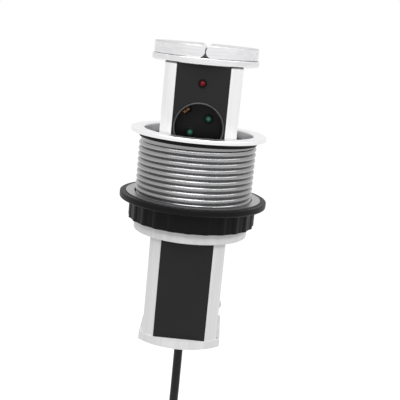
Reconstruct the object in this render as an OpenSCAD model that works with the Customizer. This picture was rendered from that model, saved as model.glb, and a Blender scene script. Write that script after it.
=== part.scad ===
// Pull-up socket tower for a round hole in a worktop, shown pulled up by about half of its travel.
// The origin is the centre of the hole on the worktop's top surface, +Z is up and the front faces -Y.

/* [Worktop ring and sleeve] */
// Outer diameter of the ring that lies on the worktop
ring_d = 118; // [116:0.5:124]
// Thickness of the worktop ring
ring_t = 3.5; // [3:0.25:5]
// Rounding of the ring's outer upper edge
ring_edge = 1.2; // [0.5:0.1:2]
// Rounding of the mouth's upper edge
mouth_edge = 1.5; // [0.5:0.1:2]
// Wall of the ring's spigot inside the sleeve
spigot_w = 0.9; // [0.6:0.1:1.2]
// Length of the ring's spigot inside the sleeve
spigot_l = 4; // [2:0.5:6]
// Inner diameter of the sleeve
bore_d = 95; // [95:0.5:97]
// Wall of the sleeve between the threads
sleeve_wall = 2.1; // [1.8:0.1:3]
// Depth of the step in the ring's underside that the sleeve and seal sit in
ring_step = 0.5; // [0.3:0.1:1]
// Length of the sleeve below the worktop's surface
sleeve_l = 76; // [70:1:80]
// Height of the thread on the sleeve
thread_h = 1.7; // [1.4:0.1:2]
// Pitch of the thread
thread_pitch = 5; // [5:0.1:5.4]
// Height of the dark seal under the ring
seal_h = 4.2; // [2.5:0.1:4.5]
// Thickness of the two ledges that stop the lid
ledge_t = 3; // [2:0.5:4]

/* [Guide collar] */
// Height of the collar below the sleeve
collar_h = 10; // [8:0.5:12]
// Height of the collar's part inside the sleeve
collar_in_h = 9; // [6:0.5:12]
// How far the collar stands out past the bottom of the thread
collar_step = 0.5; // [0.3:0.05:0.6]
// Width of a friction pad across the tower's flat side
pad_w = 26; // [16:1:34]
// Height of a friction pad
pad_h = 9; // [6:0.5:12]
// Thickness of a friction pad
pad_t = 2.4; // [1.5:0.1:3]

/* [Clamping nut] */
// Outer diameter of the nut's rim
nut_rim_d = 129; // [127:0.2:132]
// Height of the nut's rim
nut_rim_h = 5.5; // [4.5:0.5:7]
// Diameter of the nut's body between the grip lobes
nut_body_d = 109.4; // [108.6:0.2:112]
// Height of the whole nut
nut_h = 22.6; // [20:0.2:24]
// Number of grip lobes round the nut
lobe_count = 24; // [18:1:30]
// Radius of a grip lobe
lobe_r = 8; // [6:0.5:9]
// How far a grip lobe stands out
lobe_out = 1; // [0.6:0.1:1.4]
// Depth of the nut's rim below the worktop's surface
nut_drop = 53.4; // [50:0.2:55]
// Outer diameter of the clamping washer
washer_d = 118.4; // [117:0.2:122]
// Thickness of the clamping washer
washer_t = 2; // [1.5:0.1:2.5]
// How far the washer stands above the nut's rim
washer_up = 0.6; // [0.4:0.1:1]

/* [Tower] */
// Diameter of the circle that the tower's front and back follow
tower_d = 91.5; // [91:0.25:93]
// Width of the tower across its flat sides
tower_w = 64.5; // [63:0.5:67]
// Height of the tower's top above the worktop's surface
tower_top = 62; // [58:1:66]
// Length of the tower between lid and bottom cap
tower_l = 235; // [233:1:250]
// Wall of the side rails
rail_wall = 2.2; // [1.8:0.1:2.6]
// Width of the black panels
panel_w = 44.3; // [43.5:0.1:44.9]
// Distance of the panels' faces from the middle
panel_y = 40; // [39.7:0.05:40.4]
// Thickness of the panels
panel_t = 3; // [2.8:0.1:3.4]
// Thickness of the tongues along the panels' long edges
tongue_t = 1.4; // [1.2:0.1:1.6]
// Width of the tongues along the panels' long edges
tongue_w = 1.6; // [1.2:0.1:1.8]
// Thickness of the bottom cap
cap_t = 7; // [6:0.5:8]
// Diameter of the circle that the bottom cap follows
cap_d = 93; // [92.5:0.25:94]
// How far the bottom cap stands out past the flat sides
cap_lip = 3.2; // [0.8:0.1:3.4]
// Diameter of the screws in the rails' ends
end_screw_d = 2.6; // [2.2:0.1:3]
// Length of the screws in the rails' ends
end_screw_l = 16; // [12:1:20]

/* [Stop catches] */
// Distance of the catches' middles from the edges of the flat sides
catch_in = 4.85; // [4.65:0.05:6]
// Width of a catch
catch_w = 6; // [5:0.2:6.2]
// Length of a catch
catch_l = 34; // [32:1:36]
// How far a catch stands out of the flat side
catch_out = 1.7; // [1.2:0.1:2]
// Height of the catch's square stop
stop_h = 8.6; // [6:0.2:10]
// Height of the catch's round bump
bump_h = 6.8; // [5:0.2:8]
// Width of the catch's round bump
bump_w = 3.2; // [2.4:0.2:3.6]

/* [Lid] */
// Diameter of the lid's base
lid_d = 91.5; // [91:0.25:94]
// Thickness of the lid's base
lid_t = 5.6; // [5:0.2:6.4]
// Rounding of the lid base's lower edge
lid_edge = 2; // [1:0.25:3]
// Diameter over the two lid wings
wing_d = 89; // [88:0.5:91]
// Thickness of a lid wing
wing_t = 10.2; // [9.6:0.2:11]
// Gap between the two wings
wing_gap = 0.8; // [0.6:0.1:1.2]
// Rounding of a wing's outer edges
wing_edge = 0.8; // [0.4:0.1:1.2]
// Distance of the hinge brackets from the middle
bracket_y = 24; // [20:0.5:28]
// Width of a hinge knuckle
knuckle_w = 4.8; // [4:0.2:6]
// Diameter of the hinge pins
pin_d = 3; // [2.5:0.1:3.4]
// Length of a hinge pin
pin_l = 18; // [15:0.5:22]

/* [Sockets] */
// Height of the upper socket's middle above the worktop's surface
socket_z = 10.5; // [9:0.5:13]
// Distance between the two sockets
socket_pitch = 45; // [44:0.25:47]
// Outer diameter of a socket dish
dish_d = 41.8; // [41.2:0.1:42]
// Inner diameter of a socket dish
dish_bore_d = 39.6; // [39.2:0.1:39.8]
// Depth of a socket dish
dish_depth = 17.5; // [17:0.1:18]
// Thickness of a dish's floor
floor_t = 2.3; // [2:0.1:2.6]
// How far the dish's rim stands out of the panel
rim_out = 0.8; // [0.5:0.1:1.2]
// Spacing of the two pin holes
pin_pitch = 19; // [19:0.05:19.2]
// Diameter of a pin hole
pin_hole_d = 6; // [5.4:0.1:6.4]
// Turn of the sockets out of the level
socket_turn = 40; // [38:1:50]
// Distance of the earth clips from the socket's middle
clip_r = 16.4; // [16.2:0.1:16.8]
// Thickness of an earth clip
clip_t = 0.8; // [0.6:0.05:1]
// Width of an earth clip
clip_w = 6; // [5:0.25:7]
// Thickness of a shutter
shutter_t = 2; // [1.6:0.1:2.2]
// Radius of a shutter
shutter_r = 13.2; // [12.6:0.1:13.6]
// Diameter of the light's dome
led_d = 5.2; // [4.6:0.1:5.6]
// Outer diameter of the light's bezel
bezel_d = 7.2; // [6.8:0.1:8]
// Height of the light above the worktop's surface
led_z = 47; // [44:0.5:50]

/* [Inner parts] */
// Thickness of the inner chassis plate
chassis_t = 3; // [2.5:0.1:3.5]
// Outer radius of the drums behind the sockets
drum_r = 19.4; // [18.8:0.1:20.2]
// Outer diameter of a contact sleeve
contact_d = 6.4; // [6:0.1:6.8]
// Inner diameter of a contact sleeve
contact_bore_d = 4.9; // [4.86:0.02:5]
// Thickness of the contact rails
bus_t = 0.8; // [0.6:0.05:1]
// Width of the contact rails
bus_w = 5; // [4:0.25:6]
// Height of the terminal block
block_h = 18; // [14:1:22]
// Width of the terminal block
block_w = 30; // [26:1:34]

/* [Cord and plug] */
// Diameter of the cord
cord_d = 8; // [7.6:0.1:8.2]
// Outer diameter of the grommet in the bottom cap
grommet_d = 13; // [12:0.5:15]
// Diameter of the plug's body
plug_d = 37; // [35:0.5:38]
// Height of the plug's body
plug_h = 30; // [26:1:34]
// Length of the plug's neck
neck_l = 30; // [26:1:34]
// Diameter of a plug pin
plug_pin_d = 4.8; // [4.6:0.05:4.8]
// Length of a plug pin
plug_pin_l = 19; // [18:0.5:20]
// Diameter of a plug pin's root in the plug
pin_root_d = 4; // [3.4:0.1:4.2]
// Width of the tie round the coil
tie_w = 12; // [8:1:16]

/* [Clearances] */
// Play between parts that slide past each other
slide_play = 0.5; // [0.4:0.05:0.6]
// Play between parts that are only fitted together
fit_play = 0.1; // [0.05:0.01:0.15]
// Play between a hinge pin and its bore
pin_play = 0.06; // [0.03:0.01:0.1]
// Play between a turning part and what surrounds it
turn_play = 0.3; // [0.25:0.01:0.4]

/* [Hidden] */
$fn = 96;
big = 400;

// Sleeve, seal and collar
ring_r = ring_d / 2;
bore_r = bore_d / 2;
root_r = bore_r + sleeve_wall;
crest_r = root_r + thread_h;
collar_r = root_r + collar_step;
collar_bottom = -sleeve_l - collar_h;
tower_r = tower_d / 2;
half_w = tower_w / 2;

// Thread: the ridge's middle passes z = thread_z0 at angle 0, and the nut's ridge runs half a pitch above it
thread_seg = 48;
ridge_base_w = 4;
ridge_crest_w = 1.6;
thread_low = 3;
thread_z0 = -sleeve_l + thread_low;
thread_turns = (sleeve_l - thread_low - seal_h - ridge_base_w / 2 - turn_play) / thread_pitch;
nut_top = -nut_drop;
nut_bottom = nut_top - nut_h;
nut_bore_r = crest_r + turn_play;
nut_ridge_r = collar_r + turn_play;
nut_ridge_base_w = 2.6;
nut_ridge_tip_w = 1.4;
nut_phase = thread_z0 + thread_pitch / 2;
nut_ridge_low = 2;
nut_ridge_z0 = nut_phase + thread_pitch * ceil((nut_bottom + nut_ridge_low - nut_phase) / thread_pitch);
nut_turns = 2.2;

// Tower and lid
tower_bottom = tower_top - tower_l;
cap_bottom = tower_bottom - cap_t;
rail_x = panel_w / 2 + fit_play;
groove_x = panel_w / 2 + tongue_w + fit_play;
rail_in_x = half_w - rail_wall;
panel_front_t = panel_t - tongue_t;
flat_y = sqrt(pow(tower_r, 2) - pow(half_w, 2));
catch_y = flat_y - catch_in;
// One catch stands at the front of the right side and one at the back of the left side
catches = [[1, -1], [-1, 1]];
screw_in = 2.8;
screw_x = (rail_x + half_w) / 2;
screw_y = sqrt(pow(tower_r - screw_in, 2) - pow(screw_x, 2));
screw_wall = 0.9;
rail_block_y = screw_y - end_screw_d / 2 - screw_wall;
screw_head_d = 1.7 * end_screw_d;
screw_head_t = 1.7;
head_sink = 0.3;
lid_top = tower_top + lid_t;
wing_seat = 0.15;
wing_bottom = lid_top + wing_seat;
wing_top = wing_bottom + wing_t;
hinge_r = wing_t / 2;
hinge_x = hinge_r + wing_gap / 2;
hinge_z = wing_bottom + hinge_r;
knuckle_r = hinge_r - turn_play;
drop = wing_top - ring_t;
ledge_x = half_w + 2 * slide_play;
ledge_z = tower_top - drop - turn_play;
foot_l = 12;
foot_t = 2;
foot_x = 11;
pin_r = pin_d / 2;

// Sockets, measured along the socket's axis from the tower's middle
rim_face = panel_y + rim_out;
floor_face = rim_face - dish_depth;
floor_back = floor_face - floor_t;
flange_t = 2;
flange_z = socket_pitch / 2 - 1;
dish_screw_z = 15;
dish_screw_d = 2.2;
dish_screw_l = flange_t + chassis_t - 0.2;
dish_head_d = 4.2;
dish_head_t = 1.4;
key_w = 4.4;
key_in = 1.6;
key_low = 1.5;
clip_low = 3.5;
hole_r = pin_hole_d / 2;
pocket_t = shutter_t + 2 * turn_play;
pocket_r = shutter_r + 3 * turn_play;
pivot_r = 1.5;
hub_r = 3.4;
drum_back = 3;
contact_r = contact_d / 2;
contact_top = floor_back - pocket_t - turn_play;
bus_face = drum_back;
bus_gap = 0.5;
bus_x = clip_r * sin(socket_turn) - clip_w / 2 * cos(socket_turn) - bus_gap - bus_w / 2;
earth_face = bus_face - bus_t - bus_gap;
bus_tail = 31;
bus_end = socket_z - socket_pitch - bus_tail;
chassis_x = rail_in_x - fit_play;
chassis_back = floor_back - chassis_t;
chassis_top = tower_top - 2;
rib_x = rail_in_x - 2;
rib_t = 2;
flange_x = rib_x - 2 * slide_play;
dish_screw_x = flange_x - 3;
shelf_x = block_w / 2 + 1;
block_y = 9;
led_r = led_d / 2;
bezel_r = bezel_d / 2;
board_t = 1.6;
board_z = 16;
board_x = 11;
bezel_flange = 0.6;
bezel_out = 0.8;
dome_up = 0.4;
pole_x = block_w * 0.3;
pole_z = bus_end - block_h / 2;
pole_dz = block_h / 4;
pole_screw_r = 2;
pole_screw_l = 4;
pole_sink = 1;
clamp_x = 10;
clamp_z = tower_bottom + 12;
clamp_bar_w = 28;
clamp_bar_h = 9;
clamp_bar_t = 4;
clamp_head_d = 4.6;
clamp_screw_l = 9;
clamp_plate_t = 3.5;
clamp_plate_h = 18.5;
clamp_boss_d = 6.4;
clamp_gap = 0.05;
cap_wall_in = 4;
cap_wall_w = 2;
cap_wall_h = 5;
cap_sink = 0.5;
collar_in = 0.8;
collar_up = 1.5;
bracket_screw_x = 8;
bracket_screw_y = 4.2;
bracket_screw_d = 2;
bracket_screw_l = 3.8;
bracket_head_d = 3.6;
bracket_head_t = 0.8;

// Cord: the lead's middle line hangs from the cap and swings to the coil's right side
cord_r = cord_d / 2;
lead_points = [
  [0, 0, -191], [0, 0, -206], [0, 0, -221], [0, 0, -236], [0, 0, -250], [1, 0, -259], [3.5, -0.4, -268],
  [8, -1.1, -277], [14, -2, -286], [20.5, -3, -294.5], [26, -3.7, -303.5], [30, -4.1, -313],
  [32.2, -4.3, -321], [33, -4.3, -329]];
coil_mid = [-20, 0, -349];
coil_out_r = 53;
coil_step = 8.7;
coil_turns = 5;
coil_layer_y = 4.3;
coil_seg = 24;
coil_start_z = -341;
plug_x = coil_mid[0] + coil_out_r;
lead_path = concat([[0, 0, cap_bottom]], lead_points, [[plug_x, -coil_layer_y, coil_start_z]]);
plug_y = coil_layer_y;
neck_top = coil_mid[2] - 16;
body_top = neck_top - neck_l;
plug_face = body_top - plug_h;
plug_shoulder = 6;
neck_r = [7.5, 4.6];
root_in = 8;
root_gap = 0.2;
pin_tip = 1;
strip_t = 0.8;
strip_w = 6.4;
strip_l = 20;
strip_in = 1.3;
plug_slot_t = 3.4;
plug_slot_w = 7;
plug_slot_l = 24;

// What rounding takes off a square corner at [x, y]; sx and sy point out of the material
module corner(x, y, r, sx, sy) {
  translate([x - sx * r, y - sy * r])
    difference() {
      translate([sx > 0 ? 0 : -r - 0.1, sy > 0 ? 0 : -r - 0.1]) square(r + 0.1);
      circle(r = r);
    }
}

// A ring with square edges, from z0 up
module ring(r_in, r_out, z0, h) {
  rotate_extrude() translate([r_in, z0]) square([r_out - r_in, h]);
}

// Places its children on a socket's axis: x to the right, y up and z out of the panel
module facing(z) {
  translate([0, 0, z]) rotate([90, 0, 0]) children();
}

// Points along a helical ridge, four to a ring
function ridge_points(z0, turns, r_base, r_tip, w_base, w_tip) = [
  for (i = [0 : ceil(turns * thread_seg)])
    let (a = 360 * i / thread_seg, z = z0 + thread_pitch * i / thread_seg)
      for (p = [[r_base, -w_base / 2], [r_tip, -w_tip / 2], [r_tip, w_tip / 2], [r_base, w_base / 2]])
        [p[0] * cos(a), p[0] * sin(a), z + p[1]]
];

// Triangles of a tube with n rings of m points and flat ends
function tube_faces(n, m) = concat(
  [for (j = [1 : m - 2]) [0, j, j + 1]],
  [for (i = [0 : n - 2]) for (j = [0 : m - 1])
    let (a = i * m + j, b = a + m, c = (i + 1) * m + (j + 1) % m, d = c - m)
      for (f = [[a, b, c], [a, c, d]]) f],
  [for (j = [1 : m - 2]) [(n - 1) * m, (n - 1) * m + j + 1, (n - 1) * m + j]]);
function flipped(faces) = [for (f = faces) [f[0], f[2], f[1]]];

// The direction of a path at point i
function unit(v) = v / norm(v);
function heading(p, i) = unit(p[min(i + 1, len(p) - 1)] - p[max(i - 1, 0)]);

// Points of a tube of m sides round a path; side is a direction that the path never follows
function tube_points(p, r, m, side) = [
  for (i = [0 : len(p) - 1])
    let (t = heading(p, i), u = unit(cross(t, side)), v = cross(t, u))
      for (j = [0 : m - 1])
        p[i] + r * (cos(360 * (j + 0.5) / m) * u + sin(360 * (j + 0.5) / m) * v)
];

// Worktop ring and sleeve

module trim_ring() {
  color("silver") rotate_extrude() difference() {
    union() {
      translate([bore_r, 0]) square([ring_r - bore_r, ring_t]);
      translate([bore_r, -spigot_l]) square([spigot_w, spigot_l + 2 * ring_step]);
    }
    translate([bore_r + spigot_w, -1]) square([crest_r + fit_play - bore_r - spigot_w, 1 + ring_step]);
    corner(ring_r, ring_t, ring_edge, 1, 1);
    corner(bore_r, ring_t, mouth_edge, -1, 1);
  }
}

module mounting_sleeve() {
  color("gainsboro") rotate_extrude() difference() {
    translate([bore_r, -sleeve_l]) square([sleeve_wall, sleeve_l + ring_step]);
    translate([bore_r - 1, -spigot_l - fit_play])
      square([spigot_w + fit_play + 1, spigot_l + ring_step + 1]);
  }
}

// Two segments in the sleeve's bore that the lid comes to rest on
module lid_ledges() {
  for (side = [0, 180]) color("gainsboro") rotate([0, 0, side]) intersection() {
    translate([0, 0, ledge_z - ledge_t]) cylinder(r = bore_r - fit_play / 2, h = ledge_t);
    translate([ledge_x, -bore_r, ledge_z - ledge_t - 1]) cube([bore_r, 2 * bore_r, ledge_t + 2]);
  }
}

module sleeve_thread() {
  n = ceil(thread_turns * thread_seg) + 1;
  base_r = root_r / cos(180 / thread_seg) + 0.02;
  points = ridge_points(thread_z0, thread_turns, base_r, crest_r, ridge_base_w, ridge_crest_w);
  color("gainsboro") polyhedron(points, tube_faces(n, 4));
}

module flange_seal() {
  color("#202020") {
    ring(root_r, crest_r, -seal_h, seal_h);
    ring(root_r, crest_r - thread_h / 2, -1, 1 + ring_step);
  }
}

module guide_collar() {
  hole_x = half_w + slide_play;
  whole_h = collar_h + collar_in_h;
  color("white") difference() {
    rotate_extrude() difference() {
      union() {
        translate([0, collar_bottom]) square([collar_r, collar_h]);
        translate([0, -sleeve_l - 0.5]) square([bore_r - fit_play, collar_in_h + 0.5]);
      }
      corner(collar_r, collar_bottom, 1, 1, -1);
    }
    intersection() {
      translate([0, 0, collar_bottom - 1]) cylinder(r = tower_r + slide_play, h = whole_h + 2);
      translate([-hole_x, -big / 2, collar_bottom - 2]) cube([2 * hole_x, big, whole_h + 4]);
    }
    // Ways for the catches' round bumps, too narrow for their square stops
    for (c = catches) translate([c[0] * half_w, c[1] * catch_y, collar_bottom + whole_h / 2])
      cube([2 * (catch_out + slide_play), bump_w + 2 * slide_play, whole_h + 2], center = true);
    // Pockets of the friction pads
    for (sx = [-1, 1])
      translate([sx * (half_w + fit_play / 2 + pad_t / 2), 0, -sleeve_l - collar_h / 2 + 1 + pad_h / 2])
        cube([pad_t, pad_w + 2 * fit_play, pad_h + 2 * fit_play], center = true);
  }
}

module friction_pads() {
  for (sx = [-1, 1]) color("#404040")
    translate([sx * (half_w + fit_play / 2 + pad_t / 2), 0, -sleeve_l - collar_h / 2 + 1 + pad_h / 2])
      cube([pad_t, pad_w, pad_h], center = true);
}

// Clamping washer and nut

module clamp_washer() {
  color("silver") ring(nut_bore_r + turn_play, washer_d / 2, nut_top + washer_up - washer_t, washer_t);
}

module ring_nut() {
  color("#2a2a2a") difference() {
    union() {
      rotate_extrude() difference() {
        translate([nut_bore_r, nut_top - nut_rim_h]) square([nut_rim_d / 2 - nut_bore_r, nut_rim_h]);
        translate([0, nut_top + washer_up - washer_t]) square([washer_d / 2 + turn_play, washer_t]);
        corner(nut_rim_d / 2, nut_top, 0.8, 1, 1);
        corner(nut_rim_d / 2, nut_top - nut_rim_h, 1.5, 1, -1);
      }
      translate([0, 0, nut_bottom]) linear_extrude(nut_h - nut_rim_h + 0.5) difference() {
        union() {
          circle(d = nut_body_d);
          for (i = [0 : lobe_count - 1]) rotate([0, 0, 360 * i / lobe_count])
            translate([nut_body_d / 2 + lobe_out - lobe_r, 0]) circle(r = lobe_r);
        }
        circle(r = nut_bore_r);
      }
    }
  }
}

module nut_thread() {
  n = ceil(nut_turns * thread_seg) + 1;
  base_r = nut_bore_r - 0.02;
  points = ridge_points(nut_ridge_z0, nut_turns, base_r, nut_ridge_r, nut_ridge_base_w, nut_ridge_tip_w);
  color("#2a2a2a") polyhedron(points, flipped(tube_faces(n, 4)));
}

// Tower

module panel_profile() {
  translate([-panel_w / 2, -panel_y]) square([panel_w, panel_front_t + 0.2]);
  translate([-panel_w / 2 - tongue_w, -panel_y + panel_front_t]) square([panel_w + 2 * tongue_w, tongue_t]);
}

module front_panel() {
  color("#262626") difference() {
    translate([0, 0, tower_bottom]) linear_extrude(tower_l) panel_profile();
    for (z = [socket_z, socket_z - socket_pitch]) facing(z) translate([0, 0, panel_y - 2 * panel_t])
      cylinder(r = dish_d / 2 + fit_play, h = 4 * panel_t);
    facing(led_z) translate([0, 0, panel_y - 2 * panel_t])
      cylinder(r = bezel_r - bezel_flange + fit_play, h = 4 * panel_t);
  }
}

module rear_panel() {
  color("#262626") rotate([0, 0, 180]) translate([0, 0, tower_bottom])
    linear_extrude(tower_l) panel_profile();
}

module rail_profile() {
  difference() {
    intersection() {
      circle(r = tower_r);
      translate([rail_x, -big / 2]) square([half_w - rail_x, big]);
    }
    translate([0, -rail_block_y]) square([rail_in_x, 2 * rail_block_y]);
    for (s = [-1, 1]) translate([0, s * (panel_y - panel_front_t - tongue_t / 2)])
      square([2 * groove_x, tongue_t + 2 * fit_play], center = true);
  }
  for (y = [-floor_back - fit_play - rib_t, -chassis_back + fit_play])
    translate([rib_x, y]) square([rail_in_x - rib_x + 0.5, rib_t]);
}

module rail(catch_side) {
  difference() {
    translate([0, 0, tower_bottom]) linear_extrude(tower_l) rail_profile();
    for (sy = [-1, 1]) for (z = [tower_top - end_screw_l, tower_bottom - 1])
      translate([screw_x, sy * screw_y, z]) cylinder(d = end_screw_d + fit_play, h = end_screw_l + 1);
    // Window of the stop catch
    translate([half_w, catch_side * catch_y, tower_bottom + catch_l / 2 - 1])
      cube([2 * rail_wall + 1, catch_w + 2 * fit_play, catch_l + 2 + 2 * fit_play], center = true);
  }
}

module right_rail() {
  color("whitesmoke") rail(catches[0][1]);
}

module left_rail() {
  color("whitesmoke") mirror([1, 0, 0]) rail(catches[1][1]);
}

// A catch slides into its window from below: a flat strip with a square stop and a round bump
module stop_catches() {
  stop_top = tower_bottom + 1.5 + stop_h;
  bump_mid = tower_bottom + catch_l - bump_h / 2;
  bump_r = (catch_out * catch_out + bump_h * bump_h / 4) / (2 * catch_out);
  for (c = catches) color("white") mirror([c[0] < 0 ? 1 : 0, 0, 0]) translate([0, c[1] * catch_y]) {
    translate([rail_in_x, -catch_w / 2, tower_bottom]) cube([rail_wall, catch_w, catch_l]);
    translate([rail_in_x + 1, -catch_w / 2, stop_top - stop_h])
      cube([rail_wall - 1 + catch_out, catch_w, stop_h]);
    intersection() {
      translate([half_w + catch_out - bump_r, bump_w / 2, bump_mid])
        rotate([90, 0, 0]) cylinder(r = bump_r, h = bump_w);
      translate([rail_in_x + 1, -catch_w, bump_mid - bump_h / 2])
        cube([rail_wall + catch_out, 2 * catch_w, bump_h]);
    }
  }
}

module bottom_cap() {
  wall_x = rail_in_x - cap_wall_in;
  wall_y = rail_block_y - 1;
  well_x = wall_x - cap_wall_w;
  well_y = wall_y - cap_wall_w;
  plate_y = cord_r + clamp_gap;
  color("whitesmoke") difference() {
    union() {
      intersection() {
        translate([0, 0, cap_bottom]) cylinder(d = cap_d, h = cap_t);
        translate([-half_w - cap_lip, -big / 2, cap_bottom - 1])
          cube([tower_w + 2 * cap_lip, big, cap_t + 2]);
      }
      // Low wall inside the tower
      translate([-wall_x, -wall_y, tower_bottom - cap_sink])
        cube([2 * wall_x, 2 * wall_y, cap_wall_h + cap_sink]);
      // Upright plate and bosses that the cord is clamped against
      translate([-clamp_bar_w / 2, plate_y, tower_bottom - cap_sink])
        cube([clamp_bar_w, clamp_plate_t, clamp_plate_h + cap_sink]);
      for (sx = [-1, 1]) translate([sx * clamp_x, cord_r + 1, clamp_z]) rotate([90, 0, 0])
        cylinder(d = clamp_boss_d, h = 2 * cord_r);
    }
    translate([-well_x, -well_y, tower_bottom]) cube([2 * well_x, well_y + cord_r, 2 * cap_wall_h]);
    translate([-well_x, plate_y + clamp_plate_t, tower_bottom])
      cube([2 * well_x, well_y - plate_y - clamp_plate_t, 2 * cap_wall_h]);
    translate([0, 0, cap_bottom - 1]) cylinder(d = grommet_d + 2 * fit_play, h = cap_t + 2);
    translate([0, 0, tower_bottom - collar_up - fit_play])
      cylinder(d = grommet_d + 2 * collar_in + 2 * fit_play, h = 2 * collar_up);
    for (sx = [-1, 1]) {
      translate([sx * clamp_x, cord_r + 2, clamp_z]) rotate([90, 0, 0])
        cylinder(d = end_screw_d + fit_play, h = 20);
      for (sy = [-1, 1]) translate([sx * screw_x, sy * screw_y, cap_bottom - 1]) {
        cylinder(d = end_screw_d + 2 * fit_play, h = cap_t + 2);
        cylinder(d = screw_head_d + 2 * fit_play, h = screw_head_t + head_sink + 1);
      }
    }
  }
}

// A pan-headed screw that points down, with a cross slot, its head's seat at z = 0
module screw(d, l, head_d, head_t) {
  difference() {
    union() {
      translate([0, 0, -l]) cylinder(d = d, h = l + 0.1);
      cylinder(d = head_d, h = head_t);
    }
    for (a = [0, 90]) rotate([0, 0, a]) translate([0, 0, head_t])
      cube([head_d * 0.62, 0.6, 1.6], center = true);
  }
}

module cap_screws() {
  for (sx = [-1, 1]) for (sy = [-1, 1]) color("dimgray")
    translate([sx * screw_x, sy * screw_y, cap_bottom + screw_head_t + head_sink]) mirror([0, 0, 1])
      screw(end_screw_d, end_screw_l, screw_head_d, screw_head_t);
}

// Lid

module lid_base() {
  color("silver") difference() {
    rotate_extrude() difference() {
      translate([0, tower_top]) square([lid_d / 2, lid_t]);
      corner(lid_d / 2, tower_top, lid_edge, 1, -1);
      corner(lid_d / 2, lid_top, 0.5, 1, 1);
    }
    for (sy = [-1, 1]) {
      translate([-foot_x - fit_play, sy * bracket_y - foot_l / 2 - fit_play, lid_top - foot_t])
        cube([2 * (foot_x + fit_play), foot_l + 2 * fit_play, foot_t + 1]);
      for (sx = [-1, 1]) {
        translate([sx * bracket_screw_x, sy * (bracket_y + bracket_screw_y), lid_top - lid_t + fit_play])
          cylinder(d = bracket_screw_d + fit_play, h = lid_t);
        translate([sx * screw_x, sy * screw_y, tower_top - 1])
          cylinder(d = end_screw_d + 2 * fit_play, h = lid_t + 2);
        translate([sx * screw_x, sy * screw_y, lid_top - screw_head_t - head_sink])
          cylinder(d = screw_head_d + 2 * fit_play, h = 3);
      }
    }
  }
}

module lid_screws() {
  for (sx = [-1, 1]) for (sy = [-1, 1]) color("dimgray")
    translate([sx * screw_x, sy * screw_y, lid_top - screw_head_t - head_sink])
      screw(end_screw_d, end_screw_l, screw_head_d, screw_head_t);
}

// Each bracket holds one knuckle of either wing
module hinge_brackets() {
  for (sy = [-1, 1]) color("silver") translate([0, sy * bracket_y, 0]) difference() {
    union() {
      translate([-foot_x, -foot_l / 2, lid_top - foot_t]) cube([2 * foot_x, foot_l, foot_t]);
      translate([-hinge_x, -knuckle_w / 2, lid_top - foot_t])
        cube([2 * hinge_x, knuckle_w, hinge_z - lid_top + foot_t]);
      for (sx = [-1, 1]) translate([sx * hinge_x, knuckle_w / 2, hinge_z]) rotate([90, 0, 0])
        cylinder(r = knuckle_r, h = knuckle_w);
    }
    for (sx = [-1, 1]) {
      translate([sx * hinge_x, knuckle_w, hinge_z]) rotate([90, 0, 0])
        cylinder(r = pin_r + 0.02, h = 2 * knuckle_w);
      translate([sx * bracket_screw_x, sy * bracket_screw_y, lid_top - foot_t - 1])
        cylinder(d = bracket_screw_d + 2 * fit_play, h = foot_t + 2);
      translate([sx * bracket_screw_x, sy * bracket_screw_y, lid_top - bracket_head_t - fit_play])
        cylinder(d = bracket_head_d + 2 * fit_play, h = 2);
    }
  }
}

module bracket_screws() {
  for (sx = [-1, 1]) for (sy = [-1, 1]) color("dimgray")
    translate([sx * bracket_screw_x, sy * (bracket_y + bracket_screw_y), lid_top - fit_play])
      translate([0, 0, -bracket_head_t])
        screw(bracket_screw_d, bracket_screw_l, bracket_head_d, bracket_head_t);
}

module hinge_pins() {
  for (sx = [-1, 1]) for (sy = [-1, 1]) color("lightgray")
    translate([sx * hinge_x, sy * bracket_y + pin_l / 2, hinge_z]) rotate([90, 0, 0])
      cylinder(d = pin_d, h = pin_l);
}

module wing() {
  notch_w = knuckle_w + 2 * turn_play;
  hole_l = pin_l + 2 * turn_play;
  difference() {
    intersection() {
      rotate_extrude() difference() {
        translate([0, wing_bottom]) square([wing_d / 2, wing_t]);
        corner(wing_d / 2, wing_top, wing_edge, 1, 1);
        corner(wing_d / 2, wing_bottom, wing_edge, 1, -1);
      }
      union() {
        translate([hinge_x, -wing_d, wing_bottom]) cube([wing_d, 2 * wing_d, wing_t]);
        translate([hinge_x, wing_d, hinge_z]) rotate([90, 0, 0]) cylinder(r = hinge_r, h = 2 * wing_d);
      }
    }
    for (sy = [-1, 1]) {
      translate([hinge_x, sy * bracket_y + notch_w / 2, hinge_z]) rotate([90, 0, 0])
        cylinder(r = hinge_r + turn_play, h = notch_w);
      translate([hinge_x, sy * bracket_y + hole_l / 2, hinge_z]) rotate([90, 0, 0])
        cylinder(r = pin_r + pin_play, h = hole_l);
    }
  }
}

module right_wing() {
  color("silver") wing();
}

module left_wing() {
  color("silver") mirror([1, 0, 0]) wing();
}

// Sockets

// The way of one earth clip's arm, s is its side
module clip_slot(s, z0, h) {
  translate([0, s * (clip_r + clip_t / 2), z0 + h / 2])
    cube([clip_w + 2 * turn_play, clip_t + 2 * turn_play, h], center = true);
}

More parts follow.
